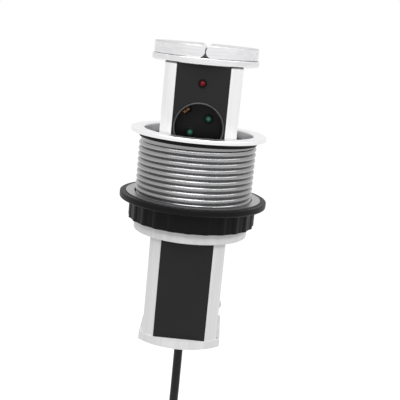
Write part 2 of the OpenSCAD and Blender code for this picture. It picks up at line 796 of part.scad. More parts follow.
module socket_dish(z) {
  h = pin_pitch / 2;
  facing(z) difference() {
    union() {
      difference() {
        translate([0, 0, floor_back]) cylinder(d = dish_d, h = rim_face - floor_back);
        translate([0, 0, floor_face]) cylinder(d = dish_bore_d, h = dish_depth + 1);
      }
      translate([-flange_x, -flange_z, floor_back]) cube([2 * flange_x, 2 * flange_z, flange_t]);
      // Two keys along the pins' line
      for (a = [0, 180]) rotate([0, 0, socket_turn + a])
        translate([dish_bore_d / 2 - key_in, -key_w / 2, floor_face - 0.5])
          cube([key_in + 0.4, key_w, dish_depth - key_low + 0.5]);
      translate([0, 0, floor_back - pocket_t + turn_play / 2]) cylinder(r = pivot_r, h = pocket_t + 1);
    }
    rotate([0, 0, socket_turn]) {
      for (s = [-1, 1]) {
        translate([s * h, 0, floor_back - 1]) cylinder(r = hole_r, h = floor_t + 2);
        clip_slot(s, floor_back - 1, floor_t + 2);
      }
    }
    for (s = [-1, 1]) translate([s * dish_screw_x, s * dish_screw_z, floor_back - 1])
      cylinder(d = dish_screw_d + 2 * fit_play, h = flange_t + 2);
  }
}

module upper_socket_dish() {
  color("#2c2c2c") socket_dish(socket_z);
}

module lower_socket_dish() {
  color("#2c2c2c") socket_dish(socket_z - socket_pitch);
}

module shutter(z) {
  facing(z) translate([0, 0, floor_back - turn_play - shutter_t]) linear_extrude(shutter_t) difference() {
    union() {
      circle(r = hub_r);
      intersection() {
        circle(r = shutter_r);
        for (a = [0, 180]) rotate([0, 0, socket_turn + a])
          polygon([[0, 0], [2 * shutter_r, 0.84 * shutter_r], [2 * shutter_r, -0.84 * shutter_r]]);
      }
    }
    circle(r = pivot_r + pin_play);
  }
}

module upper_shutter() {
  color("#3f9a5a") shutter(socket_z);
}

module lower_shutter() {
  color("#3f9a5a") shutter(socket_z - socket_pitch);
}

module dish_screws() {
  for (z = [socket_z, socket_z - socket_pitch]) for (s = [-1, 1]) color("dimgray")
    facing(z) translate([s * dish_screw_x, s * dish_screw_z, floor_back + flange_t])
      screw(dish_screw_d, dish_screw_l, dish_head_d, dish_head_t);
}

// Inner parts

module inner_chassis() {
  low = bus_end - block_h;
  h = pin_pitch / 2;
  color("#3a3a3a") difference() {
    union() {
      translate([-chassis_x, -floor_back, low]) cube([2 * chassis_x, chassis_t, chassis_top - low]);
      for (z = [socket_z, socket_z - socket_pitch]) facing(z) translate([0, 0, drum_back])
        cylinder(r = drum_r, h = chassis_back - drum_back + 0.5);
      translate([-shelf_x, -chassis_back - 0.5, low])
        cube([2 * shelf_x, chassis_back - drum_back + 0.5, block_h + 1]);
    }
    for (z = [socket_z, socket_z - socket_pitch]) facing(z) {
      translate([0, 0, floor_back - pocket_t]) cylinder(r = pocket_r, h = pocket_t + 1);
      for (s = [-1, 1]) {
        rotate([0, 0, socket_turn]) translate([s * h, 0, drum_back - 1])
          cylinder(r = contact_r + fit_play, h = floor_back);
        rotate([0, 0, socket_turn]) clip_slot(s, drum_back - 1, floor_back);
        translate([s * dish_screw_x, s * dish_screw_z, chassis_back - 1])
          cylinder(d = dish_screw_d + fit_play, h = chassis_t + 2);
      }
    }
  }
}

// Contact sleeves at one end of the pins' line in both sockets, on a common rail; s is 1 or -1
module contact_set(s) {
  x = s * pin_pitch / 2 * cos(socket_turn);
  dz = s * pin_pitch / 2 * sin(socket_turn);
  top = socket_z + dz + contact_r;
  for (z = [socket_z, socket_z - socket_pitch])
    facing(z + dz) translate([x, 0, bus_face - 0.1]) difference() {
      cylinder(r = contact_r, h = contact_top - bus_face + 0.1);
      translate([0, 0, 0.6]) cylinder(d = contact_bore_d, h = contact_top);
    }
  translate([s * bus_x - bus_w / 2, -bus_face, bus_end]) cube([bus_w, bus_t, top - bus_end]);
}

module live_contacts() {
  color("goldenrod") contact_set(1);
}

module neutral_contacts() {
  color("goldenrod") contact_set(-1);
}

module earth_clips() {
  arm_top = rim_face - clip_low;
  color("goldenrod") {
    for (z = [socket_z, socket_z - socket_pitch]) facing(z) rotate([0, 0, socket_turn]) {
      translate([-clip_w / 2, -clip_r - clip_t, earth_face - bus_t])
        cube([clip_w, 2 * (clip_r + clip_t), bus_t]);
      for (s = [-1, 1]) translate([-clip_w / 2, s * (clip_r + clip_t / 2) - clip_t / 2, earth_face - bus_t])
        cube([clip_w, clip_t, arm_top - earth_face + bus_t]);
    }
    translate([-bus_w / 2, -earth_face, bus_end]) cube([bus_w, bus_t, socket_z - bus_end]);
  }
}

module light_bezel() {
  color("#181818") facing(led_z) difference() {
    union() {
      translate([0, 0, panel_y - panel_t - 1]) cylinder(r = bezel_r - bezel_flange, h = panel_t + 1.2);
      translate([0, 0, panel_y]) cylinder(r = bezel_r, h = bezel_out);
    }
    translate([0, 0, panel_y - 2 * panel_t]) cylinder(r = led_r + 0.02, h = 3 * panel_t);
  }
}

module light_dome() {
  color("#7a1010") facing(led_z) {
    translate([0, 0, floor_back + board_t]) cylinder(r = led_r, h = panel_y + dome_up - floor_back - board_t);
    intersection() {
      translate([0, 0, panel_y + dome_up]) sphere(r = led_r);
      translate([0, 0, panel_y]) cylinder(r = led_r + 1, h = 2 * led_r);
    }
  }
}

module light_board() {
  color("darkgreen") translate([-board_x, -floor_back - board_t, led_z - board_z / 2])
    cube([2 * board_x, board_t, board_z]);
}

module terminal_block() {
  color("ivory") difference() {
    translate([-block_w / 2, -drum_back, bus_end - block_h]) cube([block_w, drum_back + block_y, block_h]);
    for (x = [-1, 0, 1]) for (z = [-1, 1]) translate([x * pole_x, block_y + 1, pole_z + z * pole_dz])
      rotate([90, 0, 0]) cylinder(r = pole_screw_r + fit_play, h = pole_screw_l + pole_sink + 1);
  }
}

module terminal_screws() {
  for (x = [-1, 0, 1]) for (z = [-1, 1]) color("silver")
    translate([x * pole_x, block_y - pole_sink, pole_z + z * pole_dz]) rotate([-90, 0, 0])
      difference() {
        translate([0, 0, -pole_screw_l]) cylinder(r = pole_screw_r, h = pole_screw_l);
        cube([1.5 * pole_screw_r, 0.6, 1.4], center = true);
      }
}

module inner_cable() {
  color("#1c1c1c") translate([0, 0, cap_bottom]) cylinder(r = cord_r, h = bus_end - block_h - cap_bottom);
}

module clamp_bar() {
  color("#3a3a3a") difference() {
    translate([-clamp_bar_w / 2, -cord_r - clamp_gap - clamp_bar_t, clamp_z - clamp_bar_h / 2])
      cube([clamp_bar_w, clamp_bar_t, clamp_bar_h]);
    for (sx = [-1, 1]) translate([sx * clamp_x, 0, clamp_z]) rotate([90, 0, 0])
      cylinder(d = end_screw_d + fit_play, h = 20);
  }
}

module clamp_screws() {
  for (sx = [-1, 1]) color("dimgray") translate([sx * clamp_x, -cord_r - clamp_gap - clamp_bar_t, clamp_z])
    rotate([90, 0, 0]) screw(end_screw_d, clamp_screw_l, clamp_head_d, screw_head_t);
}

module cord_grommet() {
  color("#1c1c1c") difference() {
    union() {
      translate([0, 0, cap_bottom]) cylinder(d = grommet_d, h = cap_t);
      translate([0, 0, tower_bottom - collar_up]) cylinder(d = grommet_d + 2 * collar_in, h = collar_up);
    }
    translate([0, 0, cap_bottom - 1]) cylinder(r = cord_r + 0.02, h = cap_t + 4);
  }
}

// Cord, coil and plug

module cord_lead() {
  color("#1c1c1c") polyhedron(tube_points(lead_path, cord_r, 10, [0, 1, 0]), tube_faces(len(lead_path), 10));
}

// Radius and depth of the coil's middle line after t turns: in for the first half, out for the second
function coil_r(t) = coil_out_r - coil_step * (coil_turns / 2 - abs(t - coil_turns / 2));
function coil_y(t) = coil_layer_y * min(max((t - coil_turns / 2) / 0.25, -1), 1);
function coil_point(t) = coil_mid + [coil_r(t) * cos(360 * t), coil_y(t), -coil_r(t) * sin(360 * t)];
coil_path = concat(
  [[plug_x, -coil_layer_y, coil_start_z]],
  [for (i = [0 : coil_turns * coil_seg]) coil_point(i / coil_seg)],
  [[plug_x, coil_layer_y, coil_mid[2] - 8], [plug_x, coil_layer_y, neck_top]]);

module cord_coil() {
  color("#1c1c1c") polyhedron(tube_points(coil_path, cord_r, 6, [0, 1, 0]), tube_faces(len(coil_path), 6));
}

// A strap round both layers on the coil's left side
module coil_tie() {
  mid_r = coil_out_r - coil_step * (coil_turns + 1) / 4;
  reach = coil_step * (coil_turns - 1) / 4 + cord_r + 0.9;
  out_y = coil_layer_y + cord_r + 0.5;
  color("#303030") translate([coil_mid[0] - mid_r, 0, coil_mid[2]]) difference() {
    cube([2 * reach + 2, 2 * out_y + 2, tie_w], center = true);
    cube([2 * reach, 2 * out_y, tie_w + 2], center = true);
  }
}

module plug_body() {
  color("#1c1c1c") translate([plug_x, plug_y, 0]) difference() {
    union() {
      translate([0, 0, plug_face]) cylinder(d = plug_d, h = plug_h - plug_shoulder);
      translate([0, 0, body_top - plug_shoulder])
        cylinder(r1 = plug_d / 2, r2 = plug_d / 2 - plug_shoulder, h = plug_shoulder);
      translate([0, 0, body_top - 0.1]) cylinder(r1 = neck_r[0], r2 = neck_r[1], h = neck_l + 0.1);
    }
    for (s = [-1, 1]) {
      translate([s * plug_d / 2, 0, plug_face + plug_slot_l / 2 - 1])
        cube([plug_slot_t, plug_slot_w, plug_slot_l], center = true);
      translate([0, s * pin_pitch / 2, plug_face - 1]) cylinder(d = pin_root_d + 0.04, h = root_in + 1);
    }
  }
}

module plug_pins() {
  for (s = [-1, 1]) color("silver") translate([plug_x, plug_y + s * pin_pitch / 2, plug_face - plug_pin_l]) {
    translate([0, 0, pin_tip]) cylinder(d = plug_pin_d, h = plug_pin_l - pin_tip);
    translate([0, 0, pin_tip]) cylinder(d = pin_root_d, h = plug_pin_l + root_in - root_gap - pin_tip);
    cylinder(r1 = plug_pin_d / 2 - 0.9, r2 = plug_pin_d / 2, h = pin_tip);
  }
}

module plug_earth_strips() {
  for (s = [-1, 1]) color("silver")
    translate([plug_x + s * (plug_d / 2 - strip_in), plug_y, plug_face + strip_l / 2])
      cube([strip_t, strip_w, strip_l], center = true);
}

function path_length(p, i = 1) = i < len(p) ? norm(p[i] - p[i - 1]) + path_length(p, i + 1) : 0;
echo(lead_length = path_length(lead_path), coil_length = path_length(coil_path));
echo(coil_gap = min([for (i = [0 : 2 : len(coil_path) - 1]) for (j = [i + 14 : len(coil_path) - 1])
  norm(coil_path[i] - coil_path[j])]) - cord_d);

trim_ring();
mounting_sleeve();
lid_ledges();
sleeve_thread();
flange_seal();
guide_collar();
friction_pads();
clamp_washer();
ring_nut();
nut_thread();
front_panel();
rear_panel();
left_rail();
right_rail();
stop_catches();
bottom_cap();
cap_screws();
lid_base();
lid_screws();
hinge_brackets();
bracket_screws();
hinge_pins();
left_wing();
right_wing();
upper_socket_dish();
lower_socket_dish();
upper_shutter();
lower_shutter();
dish_screws();
inner_chassis();
live_contacts();
neutral_contacts();
earth_clips();
light_bezel();
light_dome();
light_board();
terminal_block();
terminal_screws();
inner_cable();
clamp_bar();
clamp_screws();
cord_grommet();
cord_lead();
cord_coil();
coil_tie();
plug_body();
plug_pins();
plug_earth_strips();
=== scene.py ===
# A pull-up socket tower in its worktop ring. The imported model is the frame, and each section below
# dresses or models one piece or group of pieces. The cord and its plug come first, because they have
# to lie clear of the camera's view, and the rest follows in the order in which it goes together.
from math import cos, pi, radians, sin, tau

import bmesh
import bpy
from mathutils import Matrix, Vector


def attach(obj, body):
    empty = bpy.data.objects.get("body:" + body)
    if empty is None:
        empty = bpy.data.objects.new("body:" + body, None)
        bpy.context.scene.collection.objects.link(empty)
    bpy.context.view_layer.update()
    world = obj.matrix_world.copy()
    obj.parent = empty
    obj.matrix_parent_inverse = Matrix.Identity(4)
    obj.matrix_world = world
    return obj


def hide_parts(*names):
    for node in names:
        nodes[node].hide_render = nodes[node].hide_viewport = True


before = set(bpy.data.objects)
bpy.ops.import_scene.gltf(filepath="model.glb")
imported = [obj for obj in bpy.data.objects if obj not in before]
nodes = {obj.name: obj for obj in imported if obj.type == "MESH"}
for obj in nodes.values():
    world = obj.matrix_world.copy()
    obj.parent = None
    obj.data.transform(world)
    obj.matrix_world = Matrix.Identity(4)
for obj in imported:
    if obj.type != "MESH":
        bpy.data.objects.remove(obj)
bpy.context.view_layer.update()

# Camera
# It looks a little down on the tower from the front and leans to the left, as the picture does.
# Its distance, turn, lean and lens come from a fit to the picture's outlines.
look_at = Vector((0.0052, 0.0, -0.0435))
distance = 0.740
camera_side = radians(0.72)
camera_rise = radians(10.74)
camera_lean = radians(5.50)
back = Vector((
    sin(camera_side) * cos(camera_rise),
    -cos(camera_side) * cos(camera_rise),
    sin(camera_rise)))
level = Vector((cos(camera_side), sin(camera_side), 0.0))
upright = back.cross(level)
right = cos(camera_lean) * level + sin(camera_lean) * upright
camera_turn = Matrix((right, back.cross(right), back)).transposed()
camera = bpy.data.objects.new("camera", bpy.data.cameras.new("camera"))
camera.matrix_world = Matrix.Translation(look_at + distance * back) @ camera_turn.to_4x4()
camera.data.sensor_width = 36.0
camera.data.lens = 75.7
camera.data.shift_y = -0.04
camera.data.clip_start = 0.01
camera.data.clip_end = 20.0
bpy.context.scene.collection.objects.link(camera)
bpy.context.scene.camera = camera

# Room
# A white floor under the cord of the lowered tower, a white surround, a row of strip lamps in front
# and a lamp above. The floor shows white where it is lit and keeps the shadow that falls on it.
ambient = 0.5
floor_z = -0.525
floor_half = 4.0
floor_glow = 0.6
bpy.context.scene.view_settings.view_transform = "Standard"
world = bpy.data.worlds.new("studio")
bpy.context.scene.world = world
world.use_nodes = True
sky = world.node_tree.nodes["Background"]
sky.inputs["Color"].default_value = (1.0, 1.0, 1.0, 1.0)


def seen_directly(tree):
    """Is 1 where the camera sees a surface, straight or through gloss or glass."""
    path = tree.nodes.new("ShaderNodeLightPath")
    total = path.outputs["Is Camera Ray"]
    for ray in ("Is Glossy Ray", "Is Transmission Ray"):
        either = tree.nodes.new("ShaderNodeMath")
        either.operation = "MAXIMUM"
        tree.links.new(total, either.inputs[0])
        tree.links.new(path.outputs[ray], either.inputs[1])
        total = either.outputs[0]
    return total


strength = world.node_tree.nodes.new("ShaderNodeMapRange")
strength.inputs["To Min"].default_value = ambient
strength.inputs["To Max"].default_value = 1.0
world.node_tree.links.new(seen_directly(world.node_tree), strength.inputs["Value"])
world.node_tree.links.new(strength.outputs["Result"], sky.inputs["Strength"])

sheet = bmesh.new()
bmesh.ops.create_grid(sheet, x_segments=1, y_segments=1, size=floor_half)
bmesh.ops.translate(sheet, verts=sheet.verts, vec=(0.0, 0.0, floor_z))
floor = bpy.data.objects.new("floor", bpy.data.meshes.new("floor"))
sheet.to_mesh(floor.data)
sheet.free()
bpy.context.scene.collection.objects.link(floor)
paint = bpy.data.materials.new("floor_white")
paint.use_nodes = True
floor_shader = paint.node_tree.nodes["Principled BSDF"]
floor_shader.inputs["Base Color"].default_value = (0.85, 0.85, 0.85, 1.0)
floor_shader.inputs["Roughness"].default_value = 0.9
floor_shader.inputs["Emission Color"].default_value = (1.0, 1.0, 1.0, 1.0)
glow = paint.node_tree.nodes.new("ShaderNodeMath")
glow.operation = "MULTIPLY"
glow.inputs[1].default_value = floor_glow
paint.node_tree.links.new(seen_directly(paint.node_tree), glow.inputs[0])
paint.node_tree.links.new(glow.outputs[0], floor_shader.inputs["Emission Strength"])
floor.data.materials.append(paint)


def lamp(name, azimuth, elevation, away, power, width, height):
    """A long soft lamp that shines at the ring from a direction in degrees."""
    light = bpy.data.lights.new(name, "AREA")
    light.shape = "RECTANGLE"
    light.energy = power
    light.size = width
    light.size_y = height
    around = radians(azimuth)
    up = radians(elevation)
    outward = Vector((sin(around) * cos(up), -cos(around) * cos(up), sin(up)))
    facing = outward.to_track_quat("Z", "Y").to_matrix().to_4x4()
    holder = bpy.data.objects.new(name, light)
    holder.matrix_world = Matrix.Translation(away * outward) @ facing
    bpy.context.scene.collection.objects.link(holder)


for number, azimuth in enumerate((-30, 20, 70)):
    lamp(f"strip_lamp_{number}", azimuth, elevation=36, away=0.85, power=1.4, width=0.75, height=0.12)
lamp("top_lamp", azimuth=-15, elevation=66, away=0.8, power=3.8, width=0.6, height=0.35)


# Shader sums
# A finish is one material in the making; its nodes come from one method, and what they give
# can be added, scaled and compared in plain expressions.
class Reading:
    """A value that varies over a surface."""

    def __init__(self, finish, socket):
        self.finish = finish
        self.socket = socket

    def sum(self, operation, first, second):
        return self.finish.node("Math", {0: first, 1: second}, operation=operation)

    def __add__(self, other):
        return self.sum("ADD", self, other)

    __radd__ = __add__

    def __sub__(self, other):
        return self.sum("SUBTRACT", self, other)

    def __rsub__(self, other):
        return self.sum("SUBTRACT", other, self)

    def __mul__(self, other):
        return self.sum("MULTIPLY", self, other)

    __rmul__ = __mul__

    def __truediv__(self, other):
        return self.sum("DIVIDE", self, other)

    def __pow__(self, other):
        return self.sum("POWER", self, other)

    def at_least(self, other):
        return self.sum("MAXIMUM", self, other)


class Finish:
    """A material in the making, with its plain colour and gloss on the shader's own sockets."""

    def __init__(self, name, colour, roughness, metallic=0.0, **sockets):
        self.material = bpy.data.materials.new(name)
        self.material.use_nodes = True
        self.tree = self.material.node_tree
        self.shader = self.tree.nodes["Principled BSDF"]
        self.colour = (*colour, 1.0)
        self.wear(base_color=self.colour, roughness=roughness, metallic=metallic, **sockets)

    def feed(self, socket, value):
        if isinstance(value, Reading):
            self.tree.links.new(value.socket, socket)
        else:
            socket.default_value = value

    def wear(self, **sockets):
        """Puts numbers, colours or readings on the shader's sockets."""
        for name, value in sockets.items():
            title = name.replace("_", " ").title().replace("Ior", "IOR")
            self.feed(self.shader.inputs[title], value)

    def node(self, kind, inputs, out=0, **settings):
        made = self.tree.nodes.new("ShaderNode" + kind)
        for name, value in settings.items():
            setattr(made, name, value)
        for name, value in inputs.items():
            self.feed(made.inputs[name], value)
        return Reading(self, made.outputs[out])

    def where(self, stretch=(1.0, 1.0, 1.0), shift=(0.0, 0.0, 0.0)):
        """Object coordinates, scaled along the three axes after a shift."""
        point = self.node("TexCoord", {}, out="Object")
        if any(shift):
            point = self.node("VectorMath", {0: point, 1: shift}, operation="ADD")
        return self.node("Mapping", {"Vector": point, "Scale": stretch})

    def along(self, axis, point=None):
        """One coordinate of the surface, in metres, or of a point that was worked out from it."""
        return self.node("SeparateXYZ", {"Vector": point or self.where()}, out=axis)

    def reach(self, stretch, shift=(0.0, 0.0, 0.0)):
        """Distance in metres from the axis along which the stretch is 0."""
        point = self.where(stretch, shift)
        return self.node("VectorMath", {0: point}, out="Value", operation="LENGTH")

    def fade(self, value, none, full):
        """Goes from 0 to 1 as the value goes from none to full."""
        return self.node("MapRange", {"Value": value, "From Min": none, "From Max": full})

    def grain(self, scale, detail=2.0, stretch=(1.0, 1.0, 1.0)):
        return self.node("TexNoise", {"Vector": self.where(stretch), "Scale": scale, "Detail": detail})

    def shade(self, amount, colour, plain=None):
        """The plain colour where amount is 0, and the other colour where it is 1."""
        inputs = {0: amount, 6: plain or self.colour, 7: (*colour, 1.0)}
        return self.node("Mix", inputs, out=2, data_type="RGBA")

    def bumps(self, height, distance, strength):
        relief = self.node("Bump", {"Height": height, "Distance": distance, "Strength": strength})
        self.wear(normal=relief)


def dress(finish, *names):
    """Gives CAD nodes a finish."""
    for name in names:
        nodes[name].material_slots[0].material = finish.material


# Cord
# A black 8 mm three-core rubber cord. It leaves the bottom cap straight down, and its spare
# length hangs below as a flat coil of five turns in two layers.
cord_d = 8.0
lead = [
    (0, 0, -180), (0, 0, -191), (0, 0, -206), (0, 0, -221), (0, 0, -236), (0, 0, -250), (1, 0, -259),
    (3.5, -0.4, -268), (8, -1.1, -277), (14, -2, -286), (20.5, -3, -294.5), (26, -3.7, -303.5),
    (30, -4.1, -313), (32.2, -4.3, -321), (33, -4.3, -329), (33, -4.3, -341)]
plug_lead = [(33, 4.3, -357), (33, 4.3, -365)]
coil_x = -20.0
coil_y = 4.3
coil_z = -349.0
coil_r = 53.0
coil_step = 8.7
coil_turns = 5
crossing = 0.25
turn_points = 24


def on_coil(turn):
    """The coil's middle line: inwards in the front layer and outwards again in the rear one."""
    half = turn - coil_turns / 2
    reach = coil_r - coil_step * (coil_turns / 2 - abs(half))
    depth = coil_y * min(max(half / crossing, -1.0), 1.0)
    return (coil_x + reach * cos(tau * turn), depth, coil_z - reach * sin(tau * turn))


route = lead + [on_coil(i / turn_points) for i in range(turn_points * coil_turns + 1)] + plug_lead
cord_length = sum((Vector(b) - Vector(a)).length for a, b in zip(route, route[1:])) / 1000
cord_line = bpy.data.curves.new("cord_line", "CURVE")
cord_line.dimensions = "3D"
cord_line.bevel_depth = cord_d / 2000
cord_line.bevel_resolution = 5
cord_line.resolution_u = 3
cord_line.use_fill_caps = True
spline = cord_line.splines.new("BEZIER")
spline.bezier_points.add(len(route) - 1)
for knot, point in zip(spline.bezier_points, route):
    knot.co = Vector(point) / 1000
    knot.handle_left_type = "AUTO"
    knot.handle_right_type = "AUTO"
drawn = bpy.data.objects.new("cord_line", cord_line)
bpy.context.scene.collection.objects.link(drawn)
tube = bpy.data.meshes.new_from_object(drawn.evaluated_get(bpy.context.evaluated_depsgraph_get()))
bpy.data.objects.remove(drawn)
cord_shape = bmesh.new()
cord_shape.from_mesh(tube)
bmesh.ops.remove_doubles(cord_shape, verts=cord_shape.verts, dist=1e-6)
bmesh.ops.recalc_face_normals(cord_shape, faces=cord_shape.faces)
cord_shape.to_mesh(tube)
cord_shape.free()
tube.shade_smooth()
tube.set_sharp_from_angle(angle=radians(50))
tube.name = "mains_cord"
mains_cord = bpy.data.objects.new("mains_cord", tube)
bpy.context.scene.collection.objects.link(mains_cord)
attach(mains_cord, "tower")
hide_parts("cord_lead", "cord_coil")

cord_rubber = Finish("cord_rubber", (0.005, 0.005, 0.0055), 0.3, specular_ior_level=0.2)
cord_wrinkle = cord_rubber.grain(260.0, 3.0, (1.0, 1.0, 0.25))
cord_dust = cord_rubber.grain(60.0)
cord_rubber.wear(
    base_color=cord_rubber.shade(cord_dust * 0.5, (0.014, 0.014, 0.0145)),
    roughness=0.24 + cord_wrinkle * 0.14)
cord_rubber.bumps(cord_wrinkle, distance=0.0003, strength=0.35)
mains_cord.data.materials.append(cord_rubber.material)
dress(cord_rubber, "inner_cable")


# Plug
# A straight earthed plug moulded onto the cord's end: a round body with finger ribs, a bellows
# neck that relieves the cord, two nickel pins and two earth strips let into its sides.
def spun(profile, centre, axis=(0.0, 0.0, 1.0), steps=64, closed=False):
    """A turned shape: the profile's points are radius and height, and the axis goes through centre."""
    shape = bmesh.new()
    line = [shape.verts.new((r, 0.0, h)) for r, h in profile]
    for start, end in zip(line, line[1:] + line[:1] if closed else line[1:]):
        shape.edges.new((start, end))
    bmesh.ops.spin(
        shape, geom=shape.verts[:] + shape.edges[:], cent=(0, 0, 0), axis=(0, 0, 1), dvec=(0, 0, 0),
        angle=tau, steps=steps, use_merge=True, use_duplicate=False)
    bmesh.ops.remove_doubles(shape, verts=shape.verts, dist=1e-4)
    tilt = Vector((0.0, 0.0, 1.0)).rotation_difference(Vector(axis)).to_matrix()
    bmesh.ops.rotate(shape, verts=shape.verts, cent=(0, 0, 0), matrix=tilt)
    bmesh.ops.translate(shape, verts=shape.verts, vec=centre)
    return shape


def new_points(grown):
    """The vertices that an extrusion made."""
    return [part for part in grown["geom"] if isinstance(part, bmesh.types.BMVert)]


def placed(name, shape, finish, body):
    """Turns a finished bmesh, given in millimetres, into a piece that moves with a body."""
    bmesh.ops.scale(shape, verts=shape.verts, vec=(0.001, 0.001, 0.001))
    bmesh.ops.recalc_face_normals(shape, faces=shape.faces)
    mesh = bpy.data.meshes.new(name)
    shape.to_mesh(mesh)
    shape.free()
    mesh.shade_smooth()
    mesh.set_sharp_from_angle(angle=radians(40))
    piece = bpy.data.objects.new(name, mesh)
    piece.data.materials.append(finish.material)
    bpy.context.scene.collection.objects.link(piece)
    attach(piece, body)
    return piece


plug_x = 33.0
plug_y = 4.3
plug_face = -425.0
plug_r = 18.5
plug_h = 30.0
neck_l = 30.0
neck_ribs = 7
neck_pitch = 4.0
neck = []
for i in range(neck_ribs):
    low = neck_pitch * i + 0.8
    wide = 7.4 - 0.36 * i
    neck += [(wide - 1.1, low), (wide - 1.1, low + 1.2), (wide, low + 1.5), (wide, low + 3.3)]
plug_profile = [(0.0, 0.0), (plug_r - 1.2, 0.0), (plug_r - 0.35, 0.35), (plug_r, 1.2), (plug_r, 23.0)]
plug_profile += [(plug_r - 0.5, 24.2), (plug_r - 6.4, 29.3), (plug_r - 7.8, 30.0)]
plug_profile += [(r, plug_h + h) for r, h in neck] + [(4.6, plug_h + neck_l), (0.0, plug_h + neck_l)]
plug = spun(plug_profile, (plug_x, plug_y, plug_face), steps=60)
half_step = Matrix.Rotation(radians(3), 3, "Z")
bmesh.ops.rotate(plug, verts=plug.verts, cent=(plug_x, plug_y, 0), matrix=half_step)

groove_half = 3.0
groove_outside = 17.0
groove_floor = 16.75
grip_outside = 12.5
rib_edge = 0.35
rib_depth = 0.5


def on_side(face):
    """Whether a face is on the straight part of the plug's side, which is held in the hand."""
    return plug_face + 1.0 < face.calc_center_median().z < plug_face + 23.2


strip_faces = [
    f for f in plug.faces
    if abs(f.calc_center_median().y - plug_y) < groove_half and on_side(f)
    and abs(f.calc_center_median().x - plug_x) > groove_outside]
grooves = bmesh.ops.extrude_face_region(plug, geom=strip_faces)
for vert in new_points(grooves):
    vert.co.x = plug_x + (groove_floor if vert.co.x > plug_x else -groove_floor)
bmesh.ops.delete(plug, geom=strip_faces, context="FACES_KEEP_BOUNDARY")
grip_faces = [
    f for f in plug.faces if abs(f.calc_center_median().y - plug_y) > grip_outside and on_side(f)]
for face in grip_faces[::2]:
    bmesh.ops.inset_individual(plug, faces=[face], thickness=rib_edge, depth=-rib_depth)
plug_rubber = Finish("plug_rubber", (0.012, 0.012, 0.013), 0.45, specular_ior_level=0.3)
plug_grain = plug_rubber.grain(2600.0)
plug_rubber.wear(
    base_color=plug_rubber.shade(plug_rubber.grain(90.0) * 0.4, (0.026, 0.026, 0.027)),
    roughness=0.38 + plug_grain * 0.16)
plug_rubber.bumps(plug_grain, distance=0.00008, strength=0.4)
plug_moulding = placed("plug_moulding", plug, plug_rubber, "tower")
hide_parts("plug_body")

nickel = Finish("nickel_plate", (0.72, 0.70, 0.66), 0.2, 1.0)
nickel_smear = nickel.grain(700.0, 3.0, (1.0, 1.0, 0.08))
nickel.wear(
    base_color=nickel.shade(nickel_smear * 0.5, (0.58, 0.56, 0.52)),
    roughness=0.14 + nickel_smear * 0.2)
dress(nickel, "plug_pins", "plug_earth_strips")

# Coil tie
# A woven hook-and-loop strap that goes once round both layers of the coil and laps over itself
# in front. It is one band drawn in four rows, and a modifier gives it the cloth's thickness.
tie_x = -59.95
tie_half = 14.05
tie_deep = 9.25
tie_w = 12.0
tie_round = 5.0
tie_rows = 4
tail_gap = 0.95
tie_shape = bmesh.new()
band = []
for side, front, start in ((1, 1, 0), (-1, 1, 90), (-1, -1, 180), (1, -1, 270)):
    for step in range(7):
        angle = radians(start + 15 * step)
        band.append((
            tie_x + side * (tie_half - tie_round) + tie_round * cos(angle),
            front * (tie_deep - tie_round) + tie_round * sin(angle)))
band_points = [tie_shape.verts.new((x, y, coil_z - tie_w / 2)) for x, y in band]
for start, end in zip(band_points, band_points[1:] + band_points[:1]):
    tie_shape.edges.new((start, end))
tail_start = tie_shape.verts.new((tie_x - 4.0, -tie_deep - tail_gap, coil_z - tie_w / 2))
tail_end = tie_shape.verts.new((tie_x + 9.0, -tie_deep - tail_gap, coil_z - tie_w / 2))
tie_shape.edges.new((tail_start, tail_end))
for _ in range(tie_rows):
    ends = [e for e in tie_shape.edges if e.is_wire or len(e.link_faces) == 1]
    flat_ends = [e for e in ends if abs(e.verts[0].co.z - e.verts[1].co.z) < 1e-6]
    top = max(v.co.z for v in tie_shape.verts)
    top_ends = [e for e in flat_ends if abs(e.verts[0].co.z - top) < 1e-6]
    grown = bmesh.ops.extrude_edge_only(tie_shape, edges=top_ends)
    bmesh.ops.translate(tie_shape, verts=new_points(grown), vec=(0.0, 0.0, tie_w / tie_rows))
tie_cloth = Finish("tie_cloth", (0.02, 0.02, 0.021), 0.85, sheen_weight=0.3, sheen_roughness=0.5)
weft = tie_cloth.node(
    "TexWave", {"Vector": tie_cloth.where(), "Scale": 320.0, "Distortion": 0.4},
    wave_type="BANDS", bands_direction="Z")
warp = tie_cloth.node(
    "TexWave", {"Vector": tie_cloth.where((1.0, 1.0, 0.0)), "Scale": 320.0, "Distortion": 0.4},
    wave_type="BANDS", bands_direction="DIAGONAL")
weave = weft * 0.5 + warp * 0.5
tie_cloth.wear(base_color=tie_cloth.shade(weave, (0.05, 0.05, 0.052)), roughness=0.75 + weave * 0.2)
tie_cloth.bumps(weave, distance=0.0003, strength=0.6)
strap = placed("coil_strap", tie_shape, tie_cloth, "tower")
cloth = strap.modifiers.new("cloth", "SOLIDIFY")
cloth.thickness = 0.0009
cloth.offset = 0.0
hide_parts("coil_tie")

# Trim ring
# The flat ring that rests on the worktop, turned from aluminium, with a satin face and a
# rounded mouth that leads into the sleeve.
ring_satin = Finish("ring_satin", (0.86, 0.86, 0.87), 0.34, 1.0)
ring_brush = ring_satin.grain(420.0, 3.0, (0.12, 2.4, 2.4))
ring_cloud = ring_satin.grain(45.0)
ring_satin.wear(
    base_color=ring_satin.shade(ring_brush * 0.35 + ring_cloud * 0.2, (0.74, 0.74, 0.75)),
    roughness=0.28 + ring_brush * 0.2)
ring_satin.bumps(ring_brush, distance=0.00006, strength=0.35)
dress(ring_satin, "trim_ring")

